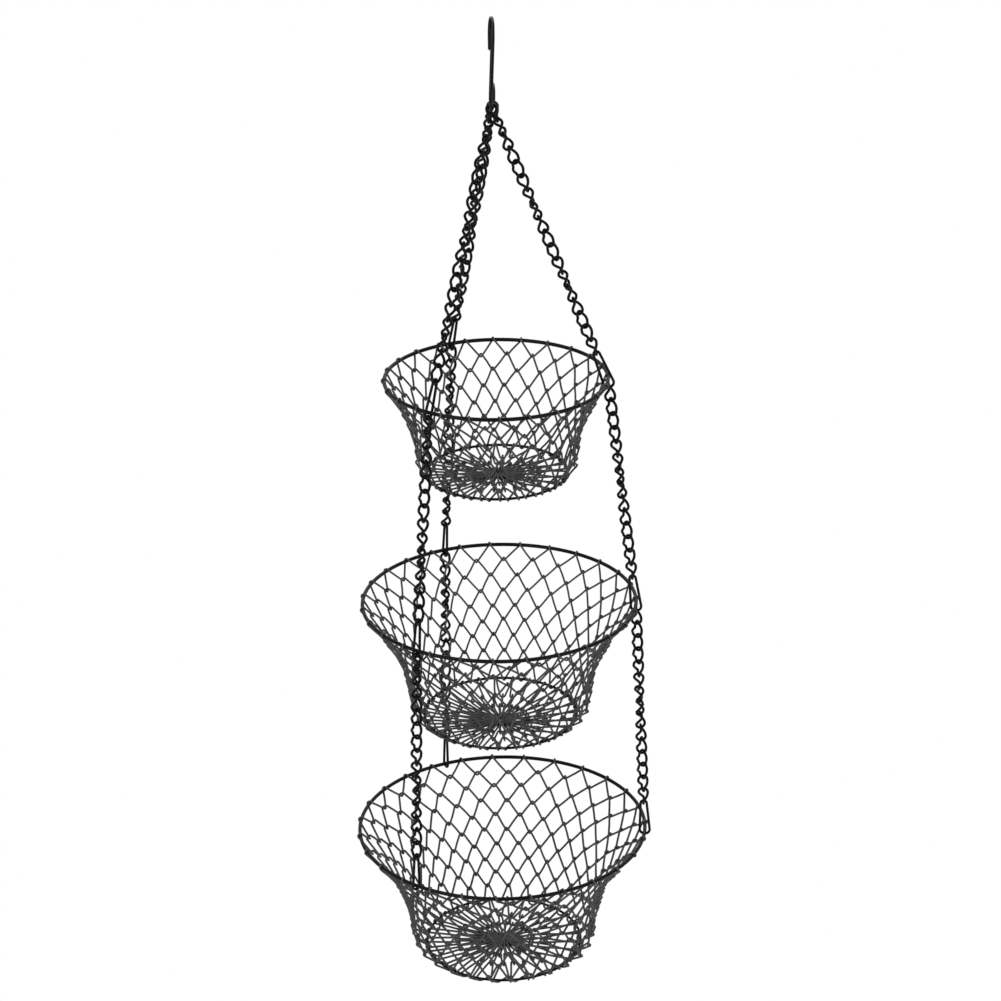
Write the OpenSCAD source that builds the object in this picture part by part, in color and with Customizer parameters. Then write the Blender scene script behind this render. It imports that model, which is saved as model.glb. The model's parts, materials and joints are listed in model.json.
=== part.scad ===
// Three-tier hanging wire basket: hook, chains, hangers, rims and hooked wire net

/* [Hook] */
// Wire of the ceiling hook
hook_wire = 3.6; // [3:0.1:4.2]
// Centreline radius of the open bow that goes over the ceiling fitting
hook_bow_r = 11; // [8:0.5:16]
// Straight leg at the open end, below the bow
hook_tip = 11; // [6:1:24]
// Straight shank below the bow, before it leans in to the eye
hook_neck = 8; // [4:1:14]
// Radius of the bend in the shank
hook_bend_r = 9; // [6:1:14]
// Height from the hang point down to the middle of the eye
hook_drop = 64; // [56:1:90]
// Centreline radius of the closed eye
eye_r = 10; // [9:0.25:12]
// Opening left where the eye wire comes round to the shank
eye_gap = 0.8; // [0.5:0.1:2]
// Angle between neighbouring chains on the eye
eye_spread = 27; // [26:1:34]

/* [Chain] */
// Wire of a chain link
link_wire = 2.2; // [1.8:0.1:2.4]
// Distance from one link to the next
link_pitch = 13.1; // [12:0.1:15]
// Outside width of a link
link_w = 10.6; // [10:0.1:12]
// Links in each chain above the top basket
top_links = 18; // [12:1:24]
// Links in each chain above the middle basket
mid_links = 14; // [10:1:20]
// Links in each chain above the low basket
low_links = 15; // [10:1:20]

/* [Hanger] */
// Wire of the loop that joins a chain to a rim
hanger_wire = 2.4; // [2:0.1:2.6]
// Height of the loop between wire centres
hanger_l = 34.8; // [28:0.2:44]
// Centreline radius of the narrow end, in the last link
hanger_top_r = 2.8; // [2.8:0.1:3.4]
// Centreline radius of the wide end, round the rim
hanger_low_r = 4.6; // [4.2:0.1:5.4]

/* [Top basket] */
// Diameter of the top rim, wire centre to wire centre
top_rim_d = 195; // [180:1:215]
// Diameter of the top base ring
top_base_d = 124; // [110:1:136]
// Depth of the top basket from rim to base ring
top_depth = 88; // [76:1:100]
// How far the middle of its bottom hangs below the base ring
top_sag = 2; // [0:0.5:10]
// Rounds of net on the side of the top basket
top_rounds = 7; // [5:1:9]
// Cells of net round the top basket, a multiple of the chains
top_cells = 24; // [18:3:24]

/* [Middle basket] */
// Diameter of the middle rim, wire centre to wire centre
mid_rim_d = 246; // [228:1:262]
// Diameter of the middle base ring
mid_base_d = 139; // [126:1:156]
// Depth of the middle basket from rim to base ring
mid_depth = 113; // [100:1:128]
// How far the middle of its bottom hangs below the base ring
mid_sag = 8; // [0:0.5:12]
// Rounds of net on the side of the middle basket
mid_rounds = 9; // [7:1:11]
// Cells of net round the middle basket, a multiple of the chains
mid_cells = 27; // [18:3:27]

/* [Low basket] */
// Diameter of the low rim, wire centre to wire centre
low_rim_d = 265; // [248:1:284]
// Diameter of the low base ring
low_base_d = 145; // [130:1:162]
// Depth of the low basket from rim to base ring
low_depth = 123; // [110:1:138]
// How far the middle of its bottom hangs below the base ring
low_sag = 1; // [0:0.5:12]
// Rounds of net on the side of the low basket
low_rounds = 10; // [8:1:12]
// Cells of net round the low basket, a multiple of the chains
low_cells = 27; // [18:3:27]

/* [Rings] */
// Wire of the rims
rim_wire = 3.4; // [2.8:0.1:4]
// Wire of the base rings
base_wire = 2.4; // [1.8:0.1:2.8]
// Wire of the small ring that gathers the middle of each bottom
centre_wire = 1.4; // [1.2:0.1:1.8]
// Diameter of that small ring
centre_d = 21; // [21:0.5:28]

/* [Net] */
// Wire of the net
net_wire = 1.6; // [1.3:0.1:1.7]
// Height over which two hooked rounds pass each other on the side
net_lap = 3.4; // [3.2:0.1:4.4]
// The same in the bottom
floor_lap = 2.8; // [2.6:0.1:4]
// Half width of the tip of an upper bend
tip_half_w = 0.5; // [0.3:0.1:0.8]
// Half width of the tip of an inner bend in the bottom
floor_half_w = 1.8; // [1.8:0.1:2.4]
// Half width of the tips gathered on the small ring
inner_half_w = 0.1; // [0.05:0.05:0.2]
// Where the brim turns down, as a share of the spread from base ring to rim
flare = 0.53; // [0.45:0.01:0.6]
// Radius of the outermost hooked row of the bottom, as a share of the base ring
row_one = 0.6; // [0.56:0.01:0.68]
// Radius of the next hooked row, as a share of the base ring
row_two = 0.37; // [0.37:0.01:0.42]

/* [Clearance] */
// Room between two wires that are hooked into each other
play = 0.35; // [0.25:0.05:0.5]

/* [Hidden] */

// The three chains of each tier, by direction seen from above
right = 0;
back = 1;
front = 2;
sides = [right, back, front];
azimuth = [0, 120, 240];

// Facets of a wire's section and of a bend
wire_fn = 32;
bend_fn = 64;
// The net wire has a three-sided section, whose corners stand a little outside the round wire
net_sides = 3;
net_section = 1.05;
// Balls that join two runs of wire are a little larger than the wire
joint_swell = 1.03;

function unit(v) = v/norm(v);
function across(v, d) = unit(v - (v*d)*d);
function radial(a) = [cos(a), sin(a), 0];
function turn_about(v, d, a) = v*cos(a) + cross(d, v)*sin(a);

// Wires that hook into each other: distance between their centres
eye_seat = (hook_wire + link_wire)/2 + play;
loop_seat = (hanger_wire + link_wire)/2 + play;
link_seat = link_wire + play;
// The rim rests on the next chain's first link, and that link rests in the hanger
rim_seat = (rim_wire + link_wire)/2 + play + loop_seat;
low_rim_seat = (rim_wire + hanger_wire)/2 + play;

link_l = link_pitch + link_seat;
link_half_w = (link_w - link_wire)/2;
link_straight = link_l/2 - link_half_w;

// Straight distance from the wire that a strand hangs on to the rim that it carries
function strand_l(links, seat, end) = link_l + (links - 1)*link_pitch - seat - loop_seat + hanger_l - end;

hang_z = hook_wire/2 - hook_bow_r;
eye_z = -hook_drop;
eye_angle = [0, eye_spread, -eye_spread];
function eye_point(a) = [0, eye_r*sin(a), eye_z - eye_r*cos(a)];
function rim_point(d, z, side) = d/2*radial(azimuth[side]) + [0, 0, z];
function reach(from, d, l) = from[2] - sqrt(l*l - pow(d/2 - norm([from[0], from[1]]), 2));

// A chain that hangs in a hanger pulls on the middle of the hanger's wide bend
function bend_centre(to, dir) = to + (rim_seat - hanger_low_r)*dir;

top_from = [for (a = eye_angle) eye_point(a)];
top_z = reach(top_from[right], top_rim_d, strand_l(top_links, eye_seat, rim_seat));
top_to = [for (s = sides) rim_point(top_rim_d, top_z, s)];
top_dir = [for (s = sides) unit(top_to[s] - top_from[s])];

top_bend = [for (s = sides) bend_centre(top_to[s], top_dir[s])];
mid_z = reach(top_bend[right], mid_rim_d, hanger_low_r + strand_l(mid_links, loop_seat, rim_seat));
mid_to = [for (s = sides) rim_point(mid_rim_d, mid_z, s)];
mid_dir = [for (s = sides) unit(mid_to[s] - top_bend[s])];
mid_from = [for (s = sides) top_bend[s] + hanger_low_r*mid_dir[s]];

mid_bend = [for (s = sides) bend_centre(mid_to[s], mid_dir[s])];
low_z = reach(mid_bend[right], low_rim_d, hanger_low_r + strand_l(low_links, loop_seat, low_rim_seat));
low_to = [for (s = sides) rim_point(low_rim_d, low_z, s)];
low_dir = [for (s = sides) unit(low_to[s] - mid_bend[s])];
low_from = [for (s = sides) mid_bend[s] + hanger_low_r*low_dir[s]];

// Distance from the centre of a ring's wire at which the net wire clears it
function net_room(wire) = (wire + net_section*net_wire)/2 + play;

// Outline of a basket's side, drawn as two curves: a flared brim over a steep wall, then the foot.
// Each of their points is [share of the spread from base ring to rim, share of the depth].
brim_points = [[1, 0], [flare, 0.3], [0.28, 0.45], [0.2, 0.9]];
foot_points = [[0.2, 0.9], [0.18, 0.95], [0.14, 0.97], [0, 1]];
brim_steps = 24;
foot_steps = 6;
function bezier(p, t) =
    pow(1 - t, 3)*p[0] + 3*t*pow(1 - t, 2)*p[1] + 3*t*t*(1 - t)*p[2] + pow(t, 3)*p[3];
function side_curve(rim_r, base_r, depth) = let (
    shares = concat(
        [for (i = [0:brim_steps - 1]) bezier(brim_points, i/brim_steps)],
        [for (i = [0:foot_steps]) bezier(foot_points, i/foot_steps)]
    )
) [for (p = shares) [base_r + p[0]*(rim_r - base_r), -p[1]*depth]];
function run(c, i = 0, l = 0) = i == len(c) ? [] : let (
    here = i == 0 ? 0 : l + norm(c[i] - c[i - 1])
) concat([here], run(c, i + 1, here));
// Height of the hanging bottom at a radius
function floor_z(r, base_d, depth, sag) = -depth - sag*(1 - pow(2*r/base_d, 2));
// Rows of the net: evenly spaced down the side, then in across the bottom
function rows(rim_d, base_d, depth, sag, rounds) = let (
    c = side_curve(rim_d/2, base_d/2, depth),
    l = run(c),
    whole = l[len(l) - 1],
    radii = [for (i = [0:len(c) - 1]) [l[i], c[i][0]]],
    heights = [for (i = [0:len(c) - 1]) [l[i], c[i][1]]]
) concat(
    [for (k = [0:rounds]) [lookup(k/rounds*whole, radii), lookup(k/rounds*whole, heights)]],
    [for (r = [row_one*base_d/2, row_two*base_d/2, centre_d/2]) [r, floor_z(r, base_d, depth, sag)]]
);

top_rows = rows(top_rim_d, top_base_d, top_depth, top_sag, top_rounds);
mid_rows = rows(mid_rim_d, mid_base_d, mid_depth, mid_sag, mid_rounds);
low_rows = rows(low_rim_d, low_base_d, low_depth, low_sag, low_rounds);

// A point of the net: row position plus a shift down the wall, outwards and round
function net_point(row, down, shift, out, round, a) = let (
    outward = [-down[1], down[0]],
    at = row + shift*down + out*outward,
    turn = a + round/at[0]*180/PI
) [at[0]*cos(turn), at[0]*sin(turn), at[1]];

// One round of net: a zigzag wire, its upper bends hooked over what is above.
// Both shapes are [distance past the row, step to each side of the wall, half width].
function zigzag(upper, lower, cells, phase, hook, foot) = let (
    down = unit(lower - upper),
    step = 360/cells
) [for (i = [0:cells - 1], part = [0, 1]) each (part == 0
    ? [for (e = [-1, 1]) net_point(upper, down, -hook[0], e*hook[1], e*hook[2], (i + phase)*step)]
    : foot[2] == 0
        ? [net_point(lower, down, foot[0], 0, 0, (i + phase + 0.5)*step)]
        : [for (e = [-1, 1])
            net_point(lower, down, foot[0], -e*foot[1], e*foot[2], (i + phase + 0.5)*step)])
];

// A wire swept round a closed list of points, with mitred corners. Its section is carried
// from run to run without twist, and what is left over at the end is spread evenly.
function carried(v, before, after) = v - (v*after)/(1 + before*after)*(before + after);
module swept_loop(points, wire) {
    n = len(points);
    ways = [for (i = [0:n - 1]) unit(points[(i + 1) % n] - points[i])];
    start = across([0, 0, 1], ways[0]);
    arms = [for (i = 0, v = start; i <= n; v = carried(v, ways[i % n], ways[(i + 1) % n]), i = i + 1) v];
    left_over = atan2(cross(arms[n], start)*ways[0], arms[n]*start);
    rings = [for (i = [0:n - 1]) let (
        mitre = unit(ways[(i + n - 1) % n] + ways[i])
    ) [for (k = [0:net_sides - 1]) let (
        arm = net_section*wire/2*turn_about(arms[i], ways[i], 360*k/net_sides + left_over*i/n)
    ) points[i] + arm - (arm*mitre)/(ways[i]*mitre)*ways[i]]];
    faces = [for (i = [0:n - 1], k = [0:net_sides - 1]) each let (
        j = (i + 1) % n,
        m = (k + 1) % net_sides,
        a = i*net_sides + k,
        b = i*net_sides + m,
        c = j*net_sides + m,
        d = j*net_sides + k
    ) [[a, c, b], [a, d, c]]];
    polyhedron([for (r = rings) each r], faces);
}

// Wires bent in the XZ plane: an arc, a straight leg, and a ball that joins them
module arc(centre, r, from, to, wire) {
    translate([centre[0], 0, centre[1]]) rotate([90, 0, 0]) rotate([0, 0, from])
        rotate_extrude(angle = to - from, $fn = bend_fn) translate([r, 0]) circle(d = wire, $fn = wire_fn);
}
module leg(from, to, wire) {
    way = to - from;
    translate([from[0], 0, from[1]]) rotate([0, atan2(way[0], way[1]), 0])
        cylinder(d = wire, h = norm(way), $fn = wire_fn);
}
module ball(at, wire) {
    translate([at[0], 0, at[1]]) sphere(d = wire*joint_swell, $fn = wire_fn);
}
module place(at, x, y, z) {
    multmatrix([
        [x[0], y[0], z[0], at[0]],
        [x[1], y[1], z[1], at[1]],
        [x[2], y[2], z[2], at[2]],
        [0, 0, 0, 1]
    ]) children();
}

// The hook, drawn in the XZ plane and turned so that it stands in the YZ plane
module ceiling_hook() {
    lean = let (
        from_neck = [0, eye_z] - [hook_bow_r, hang_z - hook_neck],
        l = norm(from_neck)
    ) atan2(-from_neck[0], -from_neck[1]) + asin(eye_r/l);
    neck = [hook_bow_r, hang_z - hook_neck];
    way = [-sin(lean), -cos(lean)];
    cut = hook_bend_r*tan(lean/2);
    bend_from = neck + [0, cut];
    bend_to = neck + cut*way;
    turn_middle = bend_from - [hook_bend_r, 0];
    eye = [0, eye_z];
    meets = eye + eye_r*[-cos(lean), sin(lean)];
    closes = 360 - acos(1 - (hook_wire + eye_gap)/eye_r);
    color([0.06, 0.06, 0.07]) rotate([0, 0, 90]) union() {
        ball([-hook_bow_r, hang_z - hook_tip], hook_wire);
        leg([-hook_bow_r, hang_z - hook_tip], [-hook_bow_r, hang_z], hook_wire);
        arc([0, hang_z], hook_bow_r, 0, 180, hook_wire);
        ball([hook_bow_r, hang_z], hook_wire);
        leg(bend_from, [hook_bow_r, hang_z], hook_wire);
        ball(bend_from, hook_wire);
        arc(turn_middle, hook_bend_r, -lean, 0, hook_wire);
        ball(bend_to, hook_wire);
        leg(meets, bend_to, hook_wire);
        ball(meets, hook_wire);
        arc(eye, eye_r, 180 - lean, 180 - lean + closes, hook_wire);
        ball(eye + eye_r*[cos(180 - lean + closes), sin(180 - lean + closes)], hook_wire);
    }
}

// A chain link, standing in the XZ plane round its own middle
module link() {
    union() {
        arc([0, link_straight], link_half_w, 0, 180, link_wire);
        arc([0, -link_straight], link_half_w, 180, 360, link_wire);
        for (side = [-1, 1])
            translate([side*link_half_w, 0, -link_straight])
                cylinder(d = link_wire, h = 2*link_straight, $fn = wire_fn);
    }
}

// A hanger: a long narrow loop, wide end down, measured from its top wire
module hanger_loop() {
    top = [0, hanger_top_r];
    low = [0, hanger_l - hanger_low_r];
    lean = asin((hanger_low_r - hanger_top_r)/(low[1] - top[1]));
    out = [cos(lean), -sin(lean)];
    union() {
        arc(top, hanger_top_r, 180 + lean, 360 - lean, hanger_wire);
        arc(low, hanger_low_r, -lean, 180 + lean, hanger_wire);
        for (side = [-1, 1]) {
            flip = [side*out[0], out[1]];
            leg(top + hanger_top_r*flip, low + hanger_low_r*flip, hanger_wire);
            ball(top + hanger_top_r*flip, hanger_wire);
            ball(low + hanger_low_r*flip, hanger_wire);
        }
    }
}

// One strand: its links turn a quarter each, and a little more or less, so that the
// last one stands square to the hanger
function hanger_face(way, side) = across(radial(azimuth[side]), way);
module chain(from, to, hung_on, links, seat, end, side) {
    way = unit(to - from);
    first = across(hung_on, way);
    last = hanger_face(way, side);
    off = atan2(cross(first, last)*way, first*last);
    turn = (off + 180*round((90*(links - 1) - off)/180))/(links - 1);
    pitch = (norm(to - from) + seat + loop_seat - link_l - hanger_l + end)/(links - 1);
    color([0.08, 0.08, 0.09]) for (i = [0:links - 1]) {
        y = turn_about(first, way, i*turn);
        place(from + (link_l/2 - seat + i*pitch)*way, cross(y, way), y, way) link();
    }
}
module hanger(from, to, end, side) {
    way = unit(to - from);
    x = hanger_face(way, side);
    color([0.07, 0.07, 0.08]) place(to + (end - hanger_l)*way, x, cross(way, x), way) hanger_loop();
}
module eye_chain(side) {
    a = eye_angle[side];
    chain(top_from[side], top_to[side], [0, cos(a), sin(a)], top_links, eye_seat, rim_seat, side);
}
module loop_chain(from, to, links, end, side) {
    chain(from, to, radial(azimuth[side]), links, loop_seat, end, side);
}

module ring(d, z, wire) {
    color([0.06, 0.06, 0.07]) translate([0, 0, z])
        rotate_extrude($fn = 128) translate([d/2, 0]) circle(d = wire, $fn = wire_fn);
}
module rim(d, z) {
    ring(d, z, rim_wire);
}
module base_ring(d, z, depth) {
    ring(d, z - depth, base_wire);
}
module centre_ring(base_d, z, depth, sag) {
    ring(centre_d, z + floor_z(centre_d/2, base_d, depth, sag), centre_wire);
}

// Shapes of the bends: [distance past the row, step to each side of the wall, half width]
net_step = net_section*net_wire + play;
// The wires of the bottom cross at flatter angles, so their bends step further apart
floor_spread = 1.25;
hooked = [net_lap/2, net_step, tip_half_w];
plain = [net_lap/2, 0, 0];
floor_hooked = [floor_lap/2, floor_spread*net_step, tip_half_w];
blunt = [floor_lap/2, 0, floor_half_w];
function round_ring(wire, l, half_w) = let (room = net_room(wire)) [room, room*(l + room)/l, half_w];

// The side net: bent over the rim, each round hooked into the one above, bent under the base ring
function row_l(net_rows, k) = norm(net_rows[k] - net_rows[k - 1]);
module side_round(net_rows, rounds, cells, z, k) {
    over_rim = round_ring(rim_wire, row_l(net_rows, 1), tip_half_w);
    under_base = round_ring(base_wire, row_l(net_rows, rounds), tip_half_w);
    color([0.13, 0.13, 0.14]) translate([0, 0, z])
        swept_loop(zigzag(
            net_rows[k - 1], net_rows[k], cells, k/2,
            k == 1 ? over_rim : hooked, k == rounds ? under_base : plain
        ), net_wire);
}
// The rounds between the first and the last, which are nodes of their own
module side_net(net_rows, rounds, cells, z) {
    for (k = [2:rounds - 1]) side_round(net_rows, rounds, cells, z, k);
}
// The bottom net: three rounds from the base ring in, the last gathered on the small ring
floor_rounds = 3;
module bottom_net(net_rows, rounds, cells, z) {
    over_base = round_ring(base_wire, row_l(net_rows, rounds + 1), tip_half_w);
    in_centre = round_ring(centre_wire, row_l(net_rows, rounds + floor_rounds), inner_half_w);
    color([0.13, 0.13, 0.14]) translate([0, 0, z]) for (k = [1:floor_rounds])
        swept_loop(zigzag(
            net_rows[rounds + k - 1], net_rows[rounds + k], cells, (rounds + k - 1)/2,
            k == 1 ? over_base : floor_hooked, k == floor_rounds ? in_centre : blunt
        ), net_wire);
}

ceiling_hook();

eye_chain(right);  // top_chain_right
eye_chain(back);  // top_chain_back
eye_chain(front);  // top_chain_front
hanger(top_from[right], top_to[right], rim_seat, right);  // top_hanger_right
hanger(top_from[back], top_to[back], rim_seat, back);  // top_hanger_back
hanger(top_from[front], top_to[front], rim_seat, front);  // top_hanger_front
rim(top_rim_d, top_z);  // top_rim
side_round(top_rows, top_rounds, top_cells, top_z, 1);  // top_rim_net
side_net(top_rows, top_rounds, top_cells, top_z);  // top_side_net
side_round(top_rows, top_rounds, top_cells, top_z, top_rounds);  // top_foot_net
base_ring(top_base_d, top_z, top_depth);  // top_base_ring
bottom_net(top_rows, top_rounds, top_cells, top_z);  // top_bottom_net
centre_ring(top_base_d, top_z, top_depth, top_sag);  // top_centre_ring

loop_chain(mid_from[right], mid_to[right], mid_links, rim_seat, right);  // mid_chain_right
loop_chain(mid_from[back], mid_to[back], mid_links, rim_seat, back);  // mid_chain_back
loop_chain(mid_from[front], mid_to[front], mid_links, rim_seat, front);  // mid_chain_front
hanger(mid_from[right], mid_to[right], rim_seat, right);  // mid_hanger_right
hanger(mid_from[back], mid_to[back], rim_seat, back);  // mid_hanger_back
hanger(mid_from[front], mid_to[front], rim_seat, front);  // mid_hanger_front
rim(mid_rim_d, mid_z);  // mid_rim
side_round(mid_rows, mid_rounds, mid_cells, mid_z, 1);  // mid_rim_net
side_net(mid_rows, mid_rounds, mid_cells, mid_z);  // mid_side_net
side_round(mid_rows, mid_rounds, mid_cells, mid_z, mid_rounds);  // mid_foot_net
base_ring(mid_base_d, mid_z, mid_depth);  // mid_base_ring
bottom_net(mid_rows, mid_rounds, mid_cells, mid_z);  // mid_bottom_net
centre_ring(mid_base_d, mid_z, mid_depth, mid_sag);  // mid_centre_ring

loop_chain(low_from[right], low_to[right], low_links, low_rim_seat, right);  // low_chain_right
loop_chain(low_from[back], low_to[back], low_links, low_rim_seat, back);  // low_chain_back
loop_chain(low_from[front], low_to[front], low_links, low_rim_seat, front);  // low_chain_front
hanger(low_from[right], low_to[right], low_rim_seat, right);  // low_hanger_right
hanger(low_from[back], low_to[back], low_rim_seat, back);  // low_hanger_back
hanger(low_from[front], low_to[front], low_rim_seat, front);  // low_hanger_front
rim(low_rim_d, low_z);  // low_rim
side_round(low_rows, low_rounds, low_cells, low_z, 1);  // low_rim_net
side_net(low_rows, low_rounds, low_cells, low_z);  // low_side_net
side_round(low_rows, low_rounds, low_cells, low_z, low_rounds);  // low_foot_net
base_ring(low_base_d, low_z, low_depth);  // low_base_ring
bottom_net(low_rows, low_rounds, low_cells, low_z);  // low_bottom_net
centre_ring(low_base_d, low_z, low_depth, low_sag);  // low_centre_ring
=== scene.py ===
# Hanging three-tier wire basket: finish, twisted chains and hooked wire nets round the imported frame
import json
import math

import bpy
import numpy as np
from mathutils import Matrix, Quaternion, Vector


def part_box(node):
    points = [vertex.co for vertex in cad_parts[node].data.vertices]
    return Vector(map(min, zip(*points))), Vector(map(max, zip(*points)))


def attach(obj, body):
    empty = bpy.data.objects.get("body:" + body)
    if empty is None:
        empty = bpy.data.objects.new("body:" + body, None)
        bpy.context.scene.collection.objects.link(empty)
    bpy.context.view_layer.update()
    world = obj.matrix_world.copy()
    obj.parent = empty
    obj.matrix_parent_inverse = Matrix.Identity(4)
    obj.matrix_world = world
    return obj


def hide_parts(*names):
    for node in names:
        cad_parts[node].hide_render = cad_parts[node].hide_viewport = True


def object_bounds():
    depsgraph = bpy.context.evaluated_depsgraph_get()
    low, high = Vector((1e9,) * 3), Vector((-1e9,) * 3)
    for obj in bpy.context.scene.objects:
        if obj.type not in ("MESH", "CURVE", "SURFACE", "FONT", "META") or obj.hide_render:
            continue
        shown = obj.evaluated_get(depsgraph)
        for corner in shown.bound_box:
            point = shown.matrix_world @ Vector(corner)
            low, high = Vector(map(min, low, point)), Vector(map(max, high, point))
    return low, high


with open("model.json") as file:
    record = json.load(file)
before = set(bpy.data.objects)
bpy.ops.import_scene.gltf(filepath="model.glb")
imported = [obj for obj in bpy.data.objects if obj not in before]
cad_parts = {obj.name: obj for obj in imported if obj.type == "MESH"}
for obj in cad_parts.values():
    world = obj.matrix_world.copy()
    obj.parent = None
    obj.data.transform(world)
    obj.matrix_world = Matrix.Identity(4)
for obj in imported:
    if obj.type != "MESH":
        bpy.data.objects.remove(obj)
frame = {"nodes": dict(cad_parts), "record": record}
CAD_LOW, CAD_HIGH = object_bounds()

MM = 0.001
TIERS = ("top", "mid", "low")
SIDES = ("right", "back", "front")
AZIMUTH = {"right": 0, "back": 120, "front": 240}
BASKET = {"top": "top_basket", "mid": "mid_basket", "low": "low_basket"}

# Sizes and counts that the frame does not give, in metres and degrees
HOOK_WIRE = 3.6 * MM
EYE_R = 10 * MM
EYE_SPREAD = 27
LINK_WIRE = 2.2 * MM
LINK_W = 10.6 * MM
LINK_PITCH = 13.1 * MM
LINKS = {"top": 18, "mid": 14, "low": 15}
HANGER_WIRE = 2.4 * MM
HANGER_L = 34.8 * MM
PLAY = 0.35 * MM
NET_WIRE = {"top": 1.85 * MM, "mid": 1.85 * MM, "low": 2.05 * MM}
CELLS = {"top": 24, "mid": 27, "low": 27}
SIDE_ROUNDS = {"top": 7, "mid": 9, "low": 10}
FLOOR_ROUNDS = 3
NET_NODES = {"side": ("rim", "side", "foot"), "bottom": ("bottom",)}
# Rows of the bottom, as shares of the base ring
ROW_ONE = 0.6
ROW_TWO = 0.37
# Outline of a side: [share of the spread from base ring to rim, share of the depth]
BRIM = ((1, 0), (0.53, 0.3), (0.28, 0.45), (0.2, 0.9))
FOOT = ((0.2, 0.9), (0.18, 0.95), (0.14, 0.97), (0, 1))
BRIM_STEPS = 24
FOOT_STEPS = 6


def unit(v):
    return v / np.linalg.norm(v)


def radial(azimuth):
    a = math.radians(azimuth)
    return np.array([math.cos(a), math.sin(a), 0.0])


def across(v, d):
    return unit(v - np.dot(v, d) * d)


def turned(v, axis, angle):
    a = math.radians(angle)
    return v * math.cos(a) + np.cross(axis, v) * math.sin(a) + axis * np.dot(axis, v) * (1 - math.cos(a))


# Camera: where the photograph was taken from, fitted to the rims' ellipses
PHOTO_PIXELS = 1001
FOCAL_PIXELS = 2928
SENSOR = 36
VIEW_AZIMUTH = 6
VIEW_ELEVATION = 23.36
VIEW_DISTANCE = 2.595
VIEW_CENTRE = (2.4 * MM, -432.5 * MM)
VIEW_ROLL = -0.79


def make_camera():
    data = bpy.data.cameras.new("camera")
    data.sensor_width = SENSOR
    data.lens = FOCAL_PIXELS / PHOTO_PIXELS * SENSOR
    camera = bpy.data.objects.new("camera", data)
    bpy.context.scene.collection.objects.link(camera)
    a, e = math.radians(VIEW_AZIMUTH), math.radians(VIEW_ELEVATION)
    back = Vector((math.sin(a) * math.cos(e), -math.cos(a) * math.cos(e), math.sin(e)))
    aside = Vector((math.cos(a), math.sin(a), 0))
    target = aside * VIEW_CENTRE[0] + Vector((0, 0, VIEW_CENTRE[1]))
    camera.location = target + back * VIEW_DISTANCE
    camera.rotation_mode = "QUATERNION"
    roll = Quaternion((0, 0, 1), math.radians(VIEW_ROLL))
    camera.rotation_quaternion = (-back).to_track_quat("-Z", "Y") @ roll
    bpy.context.scene.camera = camera


# Materials
SHEEN = 0.1
COAT_GRAIN = 90
SPECK_GRAIN = 700
DUST_COLOUR = (0.07, 0.067, 0.064)
MOST_DUST = 0.5
PEEL_STRENGTH = 0.25
PEEL_DEPTH = 0.12 * MM
COAT_ROUGHNESS = 0.25


def enamel(name, dark, light, rough, gloss, grain):
    """Satin enamel on wire: uneven coat, fine orange peel, a few dusty specks."""
    material = bpy.data.materials.new(name)
    material.use_nodes = True
    nodes, links = material.node_tree.nodes, material.node_tree.links
    shader = nodes["Principled BSDF"]
    place = nodes.new("ShaderNodeTexCoord")

    def noise(scale, detail):
        n = nodes.new("ShaderNodeTexNoise")
        n.inputs["Scale"].default_value = scale
        n.inputs["Detail"].default_value = detail
        links.new(place.outputs["Object"], n.inputs["Vector"])
        return n

    def ramp(source, low, high, from_value, to_value):
        r = nodes.new("ShaderNodeMapRange")
        r.inputs["From Min"].default_value = low
        r.inputs["From Max"].default_value = high
        r.inputs["To Min"].default_value = from_value
        r.inputs["To Max"].default_value = to_value
        links.new(source, r.inputs["Value"])
        return r.outputs["Result"]

    def mix(factor, a, b):
        m = nodes.new("ShaderNodeMix")
        m.data_type = "RGBA"
        links.new(factor, m.inputs["Factor"])
        for socket, value in ((m.inputs["A"], a), (m.inputs["B"], b)):
            if isinstance(value, tuple):
                socket.default_value = (*value, 1)
            else:
                links.new(value, socket)
        return m.outputs["Result"]

    coat, peel, specks = noise(COAT_GRAIN, 3), noise(grain, 2), noise(SPECK_GRAIN, 4)
    uneven = mix(ramp(coat.outputs["Fac"], 0.35, 0.65, 0, 1), dark, light)
    dust = ramp(specks.outputs["Fac"], 0.68, 0.76, 0, MOST_DUST)
    links.new(mix(dust, uneven, DUST_COLOUR), shader.inputs["Base Color"])
    links.new(ramp(coat.outputs["Fac"], 0.3, 0.7, rough - 0.06, rough + 0.1), shader.inputs["Roughness"])
    bump = nodes.new("ShaderNodeBump")
    bump.inputs["Strength"].default_value = PEEL_STRENGTH
    bump.inputs["Distance"].default_value = PEEL_DEPTH
    links.new(peel.outputs["Fac"], bump.inputs["Height"])
    links.new(bump.outputs["Normal"], shader.inputs["Normal"])
    shader.inputs["Specular IOR Level"].default_value = SHEEN
    shader.inputs["Coat Weight"].default_value = gloss
    shader.inputs["Coat Roughness"].default_value = COAT_ROUGHNESS
    return material


HOOK_FINISH = enamel("hook_enamel", (0.003, 0.003, 0.003), (0.007, 0.007, 0.007), 0.36, 0.08, 900)
CHAIN_FINISH = enamel("chain_enamel", (0.002, 0.002, 0.002), (0.006, 0.006, 0.006), 0.4, 0.02, 1200)
RING_FINISH = enamel("ring_enamel", (0.003, 0.003, 0.003), (0.008, 0.008, 0.008), 0.42, 0.02, 900)
NET_FINISH = enamel("net_enamel", (0.06, 0.06, 0.061), (0.10, 0.10, 0.102), 0.5, 0.02, 1500)


def finish_node(node, material):
    """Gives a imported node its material."""
    mesh = frame["nodes"][node].data
    mesh.materials.clear()
    mesh.materials.append(material)


# Meshes of bent wire
FIRST_ARM = np.array([0.31, 0.17, 0.93])
MOST_OF_RUN = 0.45


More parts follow.
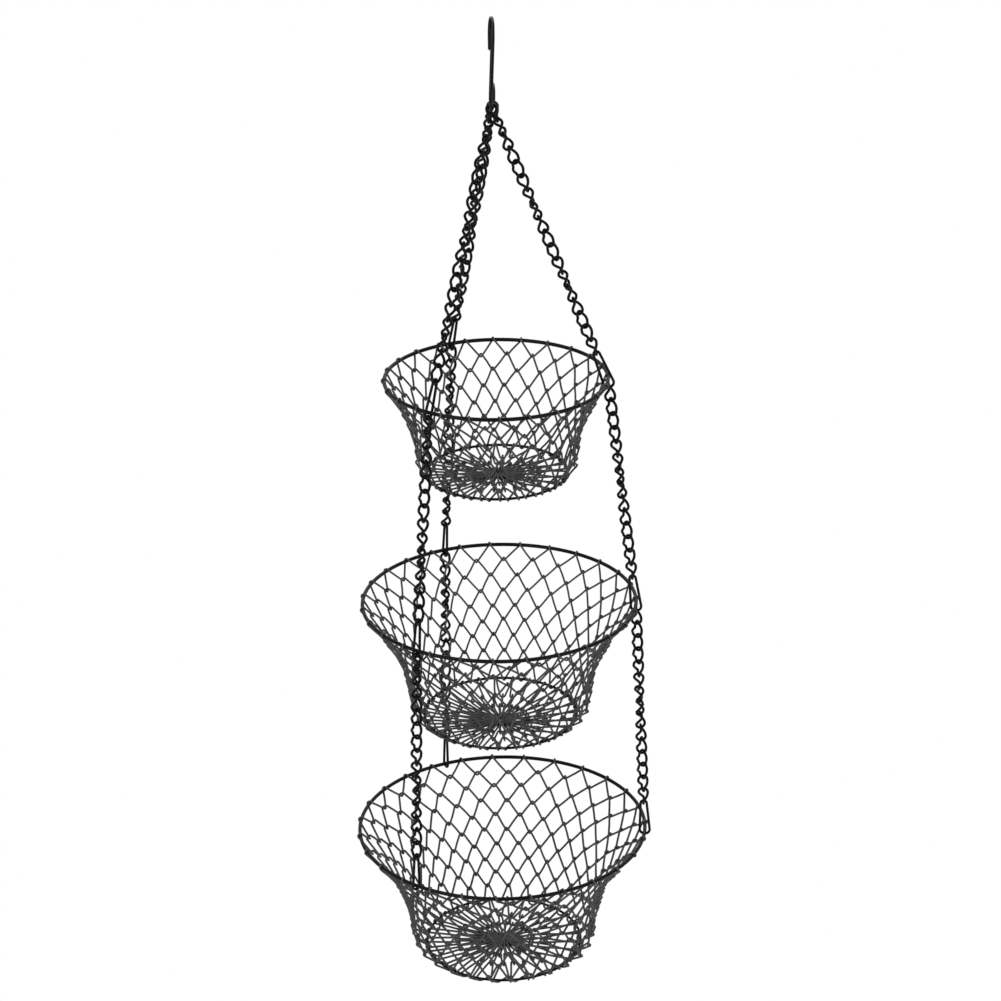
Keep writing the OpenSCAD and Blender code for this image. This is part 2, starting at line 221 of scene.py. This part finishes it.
def mesh_object(name, points, faces, material):
    mesh = bpy.data.meshes.new(name)
    mesh.from_pydata([tuple(p) for p in points], [], faces)
    mesh.polygons.foreach_set("use_smooth", [True] * len(mesh.polygons))
    mesh.materials.append(material)
    mesh.update()
    obj = bpy.data.objects.new(name, mesh)
    bpy.context.scene.collection.objects.link(obj)
    return obj


def swept_loop(path, radius, sides):
    """A round wire along a closed path: vertices and faces. The section is carried round without
    twist and what is left over at the end is spread evenly."""
    path = np.asarray(path)
    n = len(path)
    ways = np.roll(path, -1, 0) - path
    ways /= np.linalg.norm(ways, axis=1)[:, None]
    tangents = ways + np.roll(ways, 1, 0)
    tangents /= np.linalg.norm(tangents, axis=1)[:, None]
    arm = across(FIRST_ARM, tangents[0])
    arms = [arm]
    for i in range(n):
        before, after = tangents[i], tangents[(i + 1) % n]
        arm = arm - np.dot(arm, after) / (1 + np.dot(before, after)) * (before + after)
        arms.append(arm)
    start, last = arms[0], arms[n]
    left_over = math.atan2(np.dot(np.cross(last, start), tangents[0]), np.dot(last, start))
    points = []
    for i in range(n):
        other = np.cross(tangents[i], arms[i])
        for k in range(sides):
            a = 2 * math.pi * k / sides + left_over * i / n
            points.append(path[i] + radius * (math.cos(a) * arms[i] + math.sin(a) * other))
    faces = []
    for i in range(n):
        j = (i + 1) % n
        for k in range(sides):
            m = (k + 1) % sides
            faces.append((i * sides + k, j * sides + k, j * sides + m, i * sides + m))
    return points, faces


def joined(parts):
    """Several meshes as one list of vertices and one of faces."""
    points, faces = [], []
    for part_points, part_faces in parts:
        base = len(points)
        points.extend(part_points)
        faces.extend(tuple(base + i for i in face) for face in part_faces)
    return points, faces


def rounded(corners, cut, steps):
    """A closed path with each corner replaced by a smooth bend that starts cut before it, and never
    takes quite half of a short run."""
    corners = np.asarray(corners)
    n = len(corners)
    path = []
    for i in range(n):
        before, here, after = corners[i - 1], corners[i], corners[(i + 1) % n]
        back, ahead = before - here, after - here
        a = here + back * min(MOST_OF_RUN, cut / np.linalg.norm(back))
        b = here + ahead * min(MOST_OF_RUN, cut / np.linalg.norm(ahead))
        for s in range(steps + 1):
            t = s / steps
            path.append((1 - t) ** 2 * a + 2 * t * (1 - t) * here + t * t * b)
    return path


# Places taken from the frame
def ring_size(node):
    """(radius to the wire's middle, height, wire) of a ring node."""
    low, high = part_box(node)
    wire = high[2] - low[2]
    return (high[0] - low[0] - wire) / 2, (high[2] + low[2]) / 2, wire


RIM = {t: ring_size(f"{t}_rim") for t in TIERS}
BASE = {t: ring_size(f"{t}_base_ring") for t in TIERS}
CENTRE = {t: ring_size(f"{t}_centre_ring") for t in TIERS}


JOINT_AT = {j["name"]: np.array(j["pos_m"]) for j in frame["record"]["behaviour"]["joints"]}


def strand_start(tier, side):
    """The point of the wire that a strand hangs on, and that wire's direction."""
    if tier != "top":
        return JOINT_AT[f"{tier}_swing_{side}"], radial(AZIMUTH[side])
    a = math.radians({"right": 0, "back": EYE_SPREAD, "front": -EYE_SPREAD}[side])
    eye = JOINT_AT["whole_swing"] + np.array([0, 0, EYE_R])
    hung_on = np.array([0, math.cos(a), math.sin(a)])
    return eye + EYE_R * np.array([0, math.sin(a), -math.cos(a)]), hung_on


def rim_point(tier, side):
    rim_r, rim_z, _ = RIM[tier]
    return rim_r * radial(AZIMUTH[side]) + np.array([0, 0, rim_z])


# Chains: each link is bent so that its two ends stand square to each other, and each faces a little
# further round than the last. The enamel makes a link's wire a little thicker, and fills most of the
# play between two links.
COATED_LINK = LINK_WIRE + 0.3 * MM
TWIST = 45
TURN_A_LINK = {"top": 27.7, "mid": 25.7, "low": 17}
LINK_STEPS = 44
LINK_SIDES = 10


def link_path(middle, way, face, pitch):
    """Centreline of one twisted link: an oval whose plane turns from end to end."""
    half_w = (LINK_W - LINK_WIRE) / 2
    half_l = (pitch + LINK_WIRE + PLAY) / 2
    straight = half_l - half_w
    around = math.pi * half_w
    whole = 2 * around + 4 * straight
    path = []
    for i in range(LINK_STEPS):
        s = i / LINK_STEPS * whole
        if s < around:
            a = s / half_w
            x, z = half_w * math.cos(a), straight + half_w * math.sin(a)
        elif s < around + 2 * straight:
            x, z = -half_w, straight - (s - around)
        elif s < 2 * around + 2 * straight:
            a = math.pi + (s - around - 2 * straight) / half_w
            x, z = half_w * math.cos(a), -straight + half_w * math.sin(a)
        else:
            x, z = half_w, -straight + (s - 2 * around - 2 * straight)
        flat = max(-1.0, min(1.0, z / straight)) if straight > 0 else 0.0
        sideways = turned(np.cross(face, way), way, TWIST * flat)
        path.append(middle + x * sideways + z * way)
    return path


def make_chain(tier, side):
    start, hung_on = strand_start(tier, side)
    end = rim_point(tier, side)
    way = unit(end - start)
    links = LINKS[tier]
    seat = (HOOK_WIRE if tier == "top" else HANGER_WIRE) / 2 + LINK_WIRE / 2 + PLAY
    link_l = LINK_PITCH + LINK_WIRE + PLAY
    last_low = np.dot(hanger_top(tier, end, way) - start, way) + (HANGER_WIRE + LINK_WIRE) / 2 + PLAY
    pitch = (last_low + seat - link_l) / (links - 1)
    first = across(hung_on, way)
    last = across(radial(AZIMUTH[side]), way)
    off = math.degrees(math.atan2(np.dot(np.cross(first, last), way), np.dot(first, last))) - 2 * TWIST
    turn = (off + 180 * round((TURN_A_LINK[tier] * (links - 1) - off) / 180)) / (links - 1)
    parts = []
    for i in range(links):
        middle = start + (link_l / 2 - seat + i * pitch) * way
        face = turned(first, way, TWIST + turn * i)
        parts.append(swept_loop(link_path(middle, way, face, pitch), COATED_LINK / 2, LINK_SIDES))
    chain = mesh_object(f"{tier}_chain_{side}_links", *joined(parts), CHAIN_FINISH)
    node = f"{tier}_chain_{side}"
    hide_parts(node)
    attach(chain, body_with(node))


def hanger_top(tier, end, way):
    """Middle of the hanger's top wire: its length above the wire that the rim rests in."""
    if tier == "low":
        seat = (RIM[tier][2] + HANGER_WIRE) / 2 + PLAY
    else:
        seat = (RIM[tier][2] + LINK_WIRE) / 2 + PLAY + (HANGER_WIRE + LINK_WIRE) / 2 + PLAY
    return end + (seat - HANGER_L) * way


def body_with(node):
    for body, members in frame["record"]["behaviour"]["bodies"].items():
        if node in members:
            return body
    raise KeyError(node)


# Nets: rounds of wire bent to and fro, each hooked into the one above
def bezier(p, t):
    return (1 - t) ** 3 * p[0] + 3 * t * (1 - t) ** 2 * p[1] + 3 * t * t * (1 - t) * p[2] + t**3 * p[3]


def side_rows(tier):
    """Rows of the side as (radius, height): evenly spaced along its outline."""
    rim_r, rim_z, _ = RIM[tier]
    base_r, base_z, _ = BASE[tier]
    shares = [bezier(np.array(BRIM), i / BRIM_STEPS) for i in range(BRIM_STEPS)]
    shares += [bezier(np.array(FOOT), i / FOOT_STEPS) for i in range(FOOT_STEPS + 1)]
    outline = np.array([(base_r, rim_z)]) + np.array(shares) * (rim_r - base_r, base_z - rim_z)
    runs = np.concatenate([[0], np.cumsum(np.linalg.norm(np.diff(outline, axis=0), axis=1))])
    at = np.linspace(0, runs[-1], SIDE_ROUNDS[tier] + 1)
    return [np.array([np.interp(a, runs, outline[:, 0]), np.interp(a, runs, outline[:, 1])]) for a in at]


def floor_rows(tier):
    """Rows of the bottom, which hangs a little lower towards its middle."""
    base_r, base_z, _ = BASE[tier]
    centre_r, centre_z, _ = CENTRE[tier]
    sag = (base_z - centre_z) / (1 - (centre_r / base_r) ** 2)
    radii = (ROW_ONE * base_r, ROW_TWO * base_r, centre_r)
    return [np.array([r, base_z - sag * (1 - (r / base_r) ** 2)]) for r in radii]


ROWS = {t: side_rows(t) + floor_rows(t) for t in TIERS}

# How unevenly the net was bent: crossings out of place, legs bowed
STRAY = 1.1 * MM
BOW = 0.5 * MM
RISE_SHARE = 0.5
# Room between two wires of the net, and how far a bend round a ring sinks into the enamel there
WIRE_ROOM = 0.1 * MM
RING_SINK = 0.5 * MM
SIDE_LAP = 3.2 * MM
FLOOR_LAP = 2.8 * MM
HOOK_HALF_W = {"top": 0.4 * MM, "mid": 0.4 * MM, "low": 0.9 * MM}
RIM_HALF_W = 0.7 * MM
FLOOR_HALF_W = 1.8 * MM
# Loops that stand below the base ring
SCALLOP_DROP = {"top": 0.3 * MM, "mid": 0.3 * MM, "low": 2 * MM}
SCALLOP_HALF_W = {"top": 1.2 * MM, "mid": 1.2 * MM, "low": 3.6 * MM}
# Tips gathered in the middle of a bottom: how far from the centre they end, in turn
TIP_R = (1.4 * MM, 6 * MM, 3.5 * MM, 6 * MM)
RING_ARC = 100
RING_ARC_STEPS = 4
BEND_CUT = 1.6 * MM
BEND_STEPS = 4
NET_SIDES = 7


def random_pair(*key):
    return np.random.default_rng(key).uniform(-1, 1, 2)


def stray(tier, row, index):
    """How far a crossing lies from its even place: (down, round), the same for both of its wires."""
    if row in (0, SIDE_ROUNDS[tier], len(ROWS[tier]) - 1):
        return np.zeros(2)
    return STRAY * random_pair(TIERS.index(tier), row, index)


def net_point(row, down, shift, out, aside, azimuth):
    outward = np.array([-down[1], down[0]])
    at = row + shift * down + out * outward
    a = math.radians(azimuth) + aside / at[0]
    return np.array([at[0] * math.cos(a), at[0] * math.sin(a), at[1]])


# Bends, as points (distance past the row, step across the wall, distance round)
def wire_bend(past, step, half_w):
    return [(past, e * step, e * half_w) for e in (-1, 1)]


def ring_bend(tier, wire, drop, half_w):
    """A bend that lies close round a ring, or stands off it by drop at its end."""
    r = (wire + NET_WIRE[tier]) / 2 - RING_SINK
    points = []
    for i in range(2 * RING_ARC_STEPS + 1):
        t = i / RING_ARC_STEPS - 1
        a = math.radians(RING_ARC * t)
        past = (r + drop if math.cos(a) > 0 else r) * math.cos(a)
        points.append((past, r * math.sin(a), half_w * math.sin(math.pi / 2 * t)))
    return points


def leg_middle(a, b, key):
    """A point halfway along a leg, pushed a little round and up or down."""
    middle = (a + b) / 2
    aside, rise = BOW * random_pair(*key)
    around = unit(np.array([-middle[1], middle[0], 0]))
    return middle + aside * around + np.array([0, 0, RISE_SHARE * rise])


def zigzag(tier, k, phase, upper_bend, lower_bend):
    """Path of round k of a net, between row k - 1 and row k. Its bends are functions of the cell."""
    rows = ROWS[tier]
    down = unit(rows[k] - rows[k - 1])
    cells = CELLS[tier]
    path = []
    for i in range(cells):
        for row, side, bend in ((k - 1, -1, upper_bend), (k, 1, lower_bend)):
            spot = i + phase + (0.5 if side > 0 else 0)
            slip = stray(tier, row, int(round(2 * spot)) % (2 * cells))
            points = [
                net_point(
                    rows[row],
                    down,
                    side * past + slip[0],
                    -side * out,
                    aside + slip[1],
                    spot * 360 / cells,
                )
                for past, out, aside in bend(i)
            ]
            if path:
                path.append(leg_middle(path[-1], points[0], (TIERS.index(tier), k, i, side + 1)))
            path.extend(points)
    path.append(leg_middle(path[-1], path[0], (TIERS.index(tier), k, cells, 0)))
    return rounded(path, BEND_CUT, BEND_STEPS)


def side_bends(tier, k):
    hook = wire_bend(SIDE_LAP / 2, NET_WIRE[tier] + WIRE_ROOM, HOOK_HALF_W[tier])
    foot = [(SIDE_LAP / 2, 0, 0)]
    if k == 1:
        hook = ring_bend(tier, RIM[tier][2], 0, RIM_HALF_W)
    if k == SIDE_ROUNDS[tier]:
        foot = ring_bend(tier, BASE[tier][2], SCALLOP_DROP[tier], SCALLOP_HALF_W[tier])
    return (lambda cell: hook), (lambda cell: foot)


def floor_bends(tier, k):
    hook = wire_bend(FLOOR_LAP / 2, NET_WIRE[tier] + WIRE_ROOM, HOOK_HALF_W[tier])
    foot = wire_bend(FLOOR_LAP / 2, 0, FLOOR_HALF_W)
    if k == SIDE_ROUNDS[tier] + 1:
        hook = ring_bend(tier, BASE[tier][2], 0, RIM_HALF_W)
    if k < SIDE_ROUNDS[tier] + FLOOR_ROUNDS:
        return (lambda cell: hook), (lambda cell: foot)
    centre_r, _, wire = CENTRE[tier]
    room = (wire + NET_WIRE[tier]) / 2 + WIRE_ROOM

    def tip(cell):
        """A narrow bend whose two legs run in from neighbouring hooks, one above the other."""
        end_r = TIP_R[cell % len(TIP_R)] + NET_WIRE[tier] / 2
        return wire_bend(centre_r - end_r, room, math.pi / CELLS[tier] * end_r)

    return (lambda cell: hook), tip


def make_net(tier, part, rounds, bends):
    parts = []
    for k in rounds:
        phase = (k if part == "side" else k - 1) / 2
        path = zigzag(tier, k, phase, *bends(tier, k))
        parts.append(swept_loop(path, NET_WIRE[tier] / 2, NET_SIDES))
    net = mesh_object(f"{tier}_{part}_net_wire", *joined(parts), NET_FINISH)
    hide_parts(*(f"{tier}_{piece}_net" for piece in NET_NODES[part]))
    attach(net, BASKET[tier])


def make_nets(tier):
    side = SIDE_ROUNDS[tier]
    make_net(tier, "side", range(1, side + 1), side_bends)
    make_net(tier, "bottom", range(side + 1, side + FLOOR_ROUNDS + 1), floor_bends)


# Stage
FLOOR_Z = CAD_LOW[2] - 0.62
WALL_Y = 3.5
WALL_TOP = 4
STAGE_HALF = 6
STAGE_GREY = 0.8
FILL_LEVEL = 0.45


def white(name, level):
    """Matt pale surface that the camera sees as plain white."""
    material = bpy.data.materials.new(name)
    material.use_nodes = True
    nodes, links = material.node_tree.nodes, material.node_tree.links
    shader = nodes["Principled BSDF"]
    shader.inputs["Base Color"].default_value = (level, level, level, 1)
    shader.inputs["Roughness"].default_value = 0.9
    path = nodes.new("ShaderNodeLightPath")
    either = nodes.new("ShaderNodeMath")
    either.operation = "MAXIMUM"
    links.new(path.outputs["Is Camera Ray"], either.inputs[0])
    links.new(path.outputs["Is Glossy Ray"], either.inputs[1])
    glow = nodes.new("ShaderNodeEmission")
    mix = nodes.new("ShaderNodeMixShader")
    links.new(either.outputs["Value"], mix.inputs["Fac"])
    links.new(shader.outputs["BSDF"], mix.inputs[1])
    links.new(glow.outputs["Emission"], mix.inputs[2])
    links.new(mix.outputs["Shader"], nodes["Material Output"].inputs["Surface"])
    return material


def make_stage():
    floor = mesh_object(
        "floor",
        [
            (-STAGE_HALF, -STAGE_HALF, FLOOR_Z),
            (STAGE_HALF, -STAGE_HALF, FLOOR_Z),
            (STAGE_HALF, WALL_Y, FLOOR_Z),
            (-STAGE_HALF, WALL_Y, FLOOR_Z),
        ],
        [(0, 1, 2, 3)],
        white("floor_white", STAGE_GREY),
    )
    wall = mesh_object(
        "backdrop",
        [
            (-STAGE_HALF, WALL_Y, FLOOR_Z),
            (STAGE_HALF, WALL_Y, FLOOR_Z),
            (STAGE_HALF, WALL_Y, WALL_TOP),
            (-STAGE_HALF, WALL_Y, WALL_TOP),
        ],
        [(0, 1, 2, 3)],
        white("backdrop_white", STAGE_GREY),
    )


def area_light(name, place, size, power):
    data = bpy.data.lights.new(name, "AREA")
    data.shape = "DISK"
    data.size = size
    data.energy = power
    light = bpy.data.objects.new(name, data)
    light.location = place
    light.rotation_mode = "QUATERNION"
    aim = Vector((0, 0, CAD_LOW[2] / 2)) - Vector(place)
    light.rotation_quaternion = aim.to_track_quat("-Z", "Y")
    bpy.context.scene.collection.objects.link(light)


def make_light():
    """White all round for the camera, dimmer for the object, and three lamps."""
    world = bpy.data.worlds.new("studio")
    bpy.context.scene.world = world
    world.use_nodes = True
    nodes, links = world.node_tree.nodes, world.node_tree.links
    back = nodes["Background"]
    back.inputs["Color"].default_value = (1, 1, 1, 1)
    path = nodes.new("ShaderNodeLightPath")
    level = nodes.new("ShaderNodeMapRange")
    level.inputs["To Min"].default_value = FILL_LEVEL
    level.inputs["To Max"].default_value = 1
    links.new(path.outputs["Is Camera Ray"], level.inputs["Value"])
    links.new(level.outputs["Result"], back.inputs["Strength"])
    area_light("key", (-1.4, -1.8, 1.0), 1.2, 26)
    area_light("fill", (1.9, -1.4, 0.1), 1.4, 12)
    area_light("rim_light", (0.4, 1.9, 1.1), 1.0, 14)


def dress():
    make_camera()
    finish_node("ceiling_hook", HOOK_FINISH)
    for tier in TIERS:
        for ring in ("rim", "base_ring", "centre_ring"):
            finish_node(f"{tier}_{ring}", RING_FINISH)
        for side in SIDES:
            finish_node(f"{tier}_hanger_{side}", CHAIN_FINISH)
    for tier in TIERS:
        for side in SIDES:
            make_chain(tier, side)
        make_nets(tier)
    make_stage()
    make_light()
    bpy.context.scene.view_settings.view_transform = "Standard"


dress()
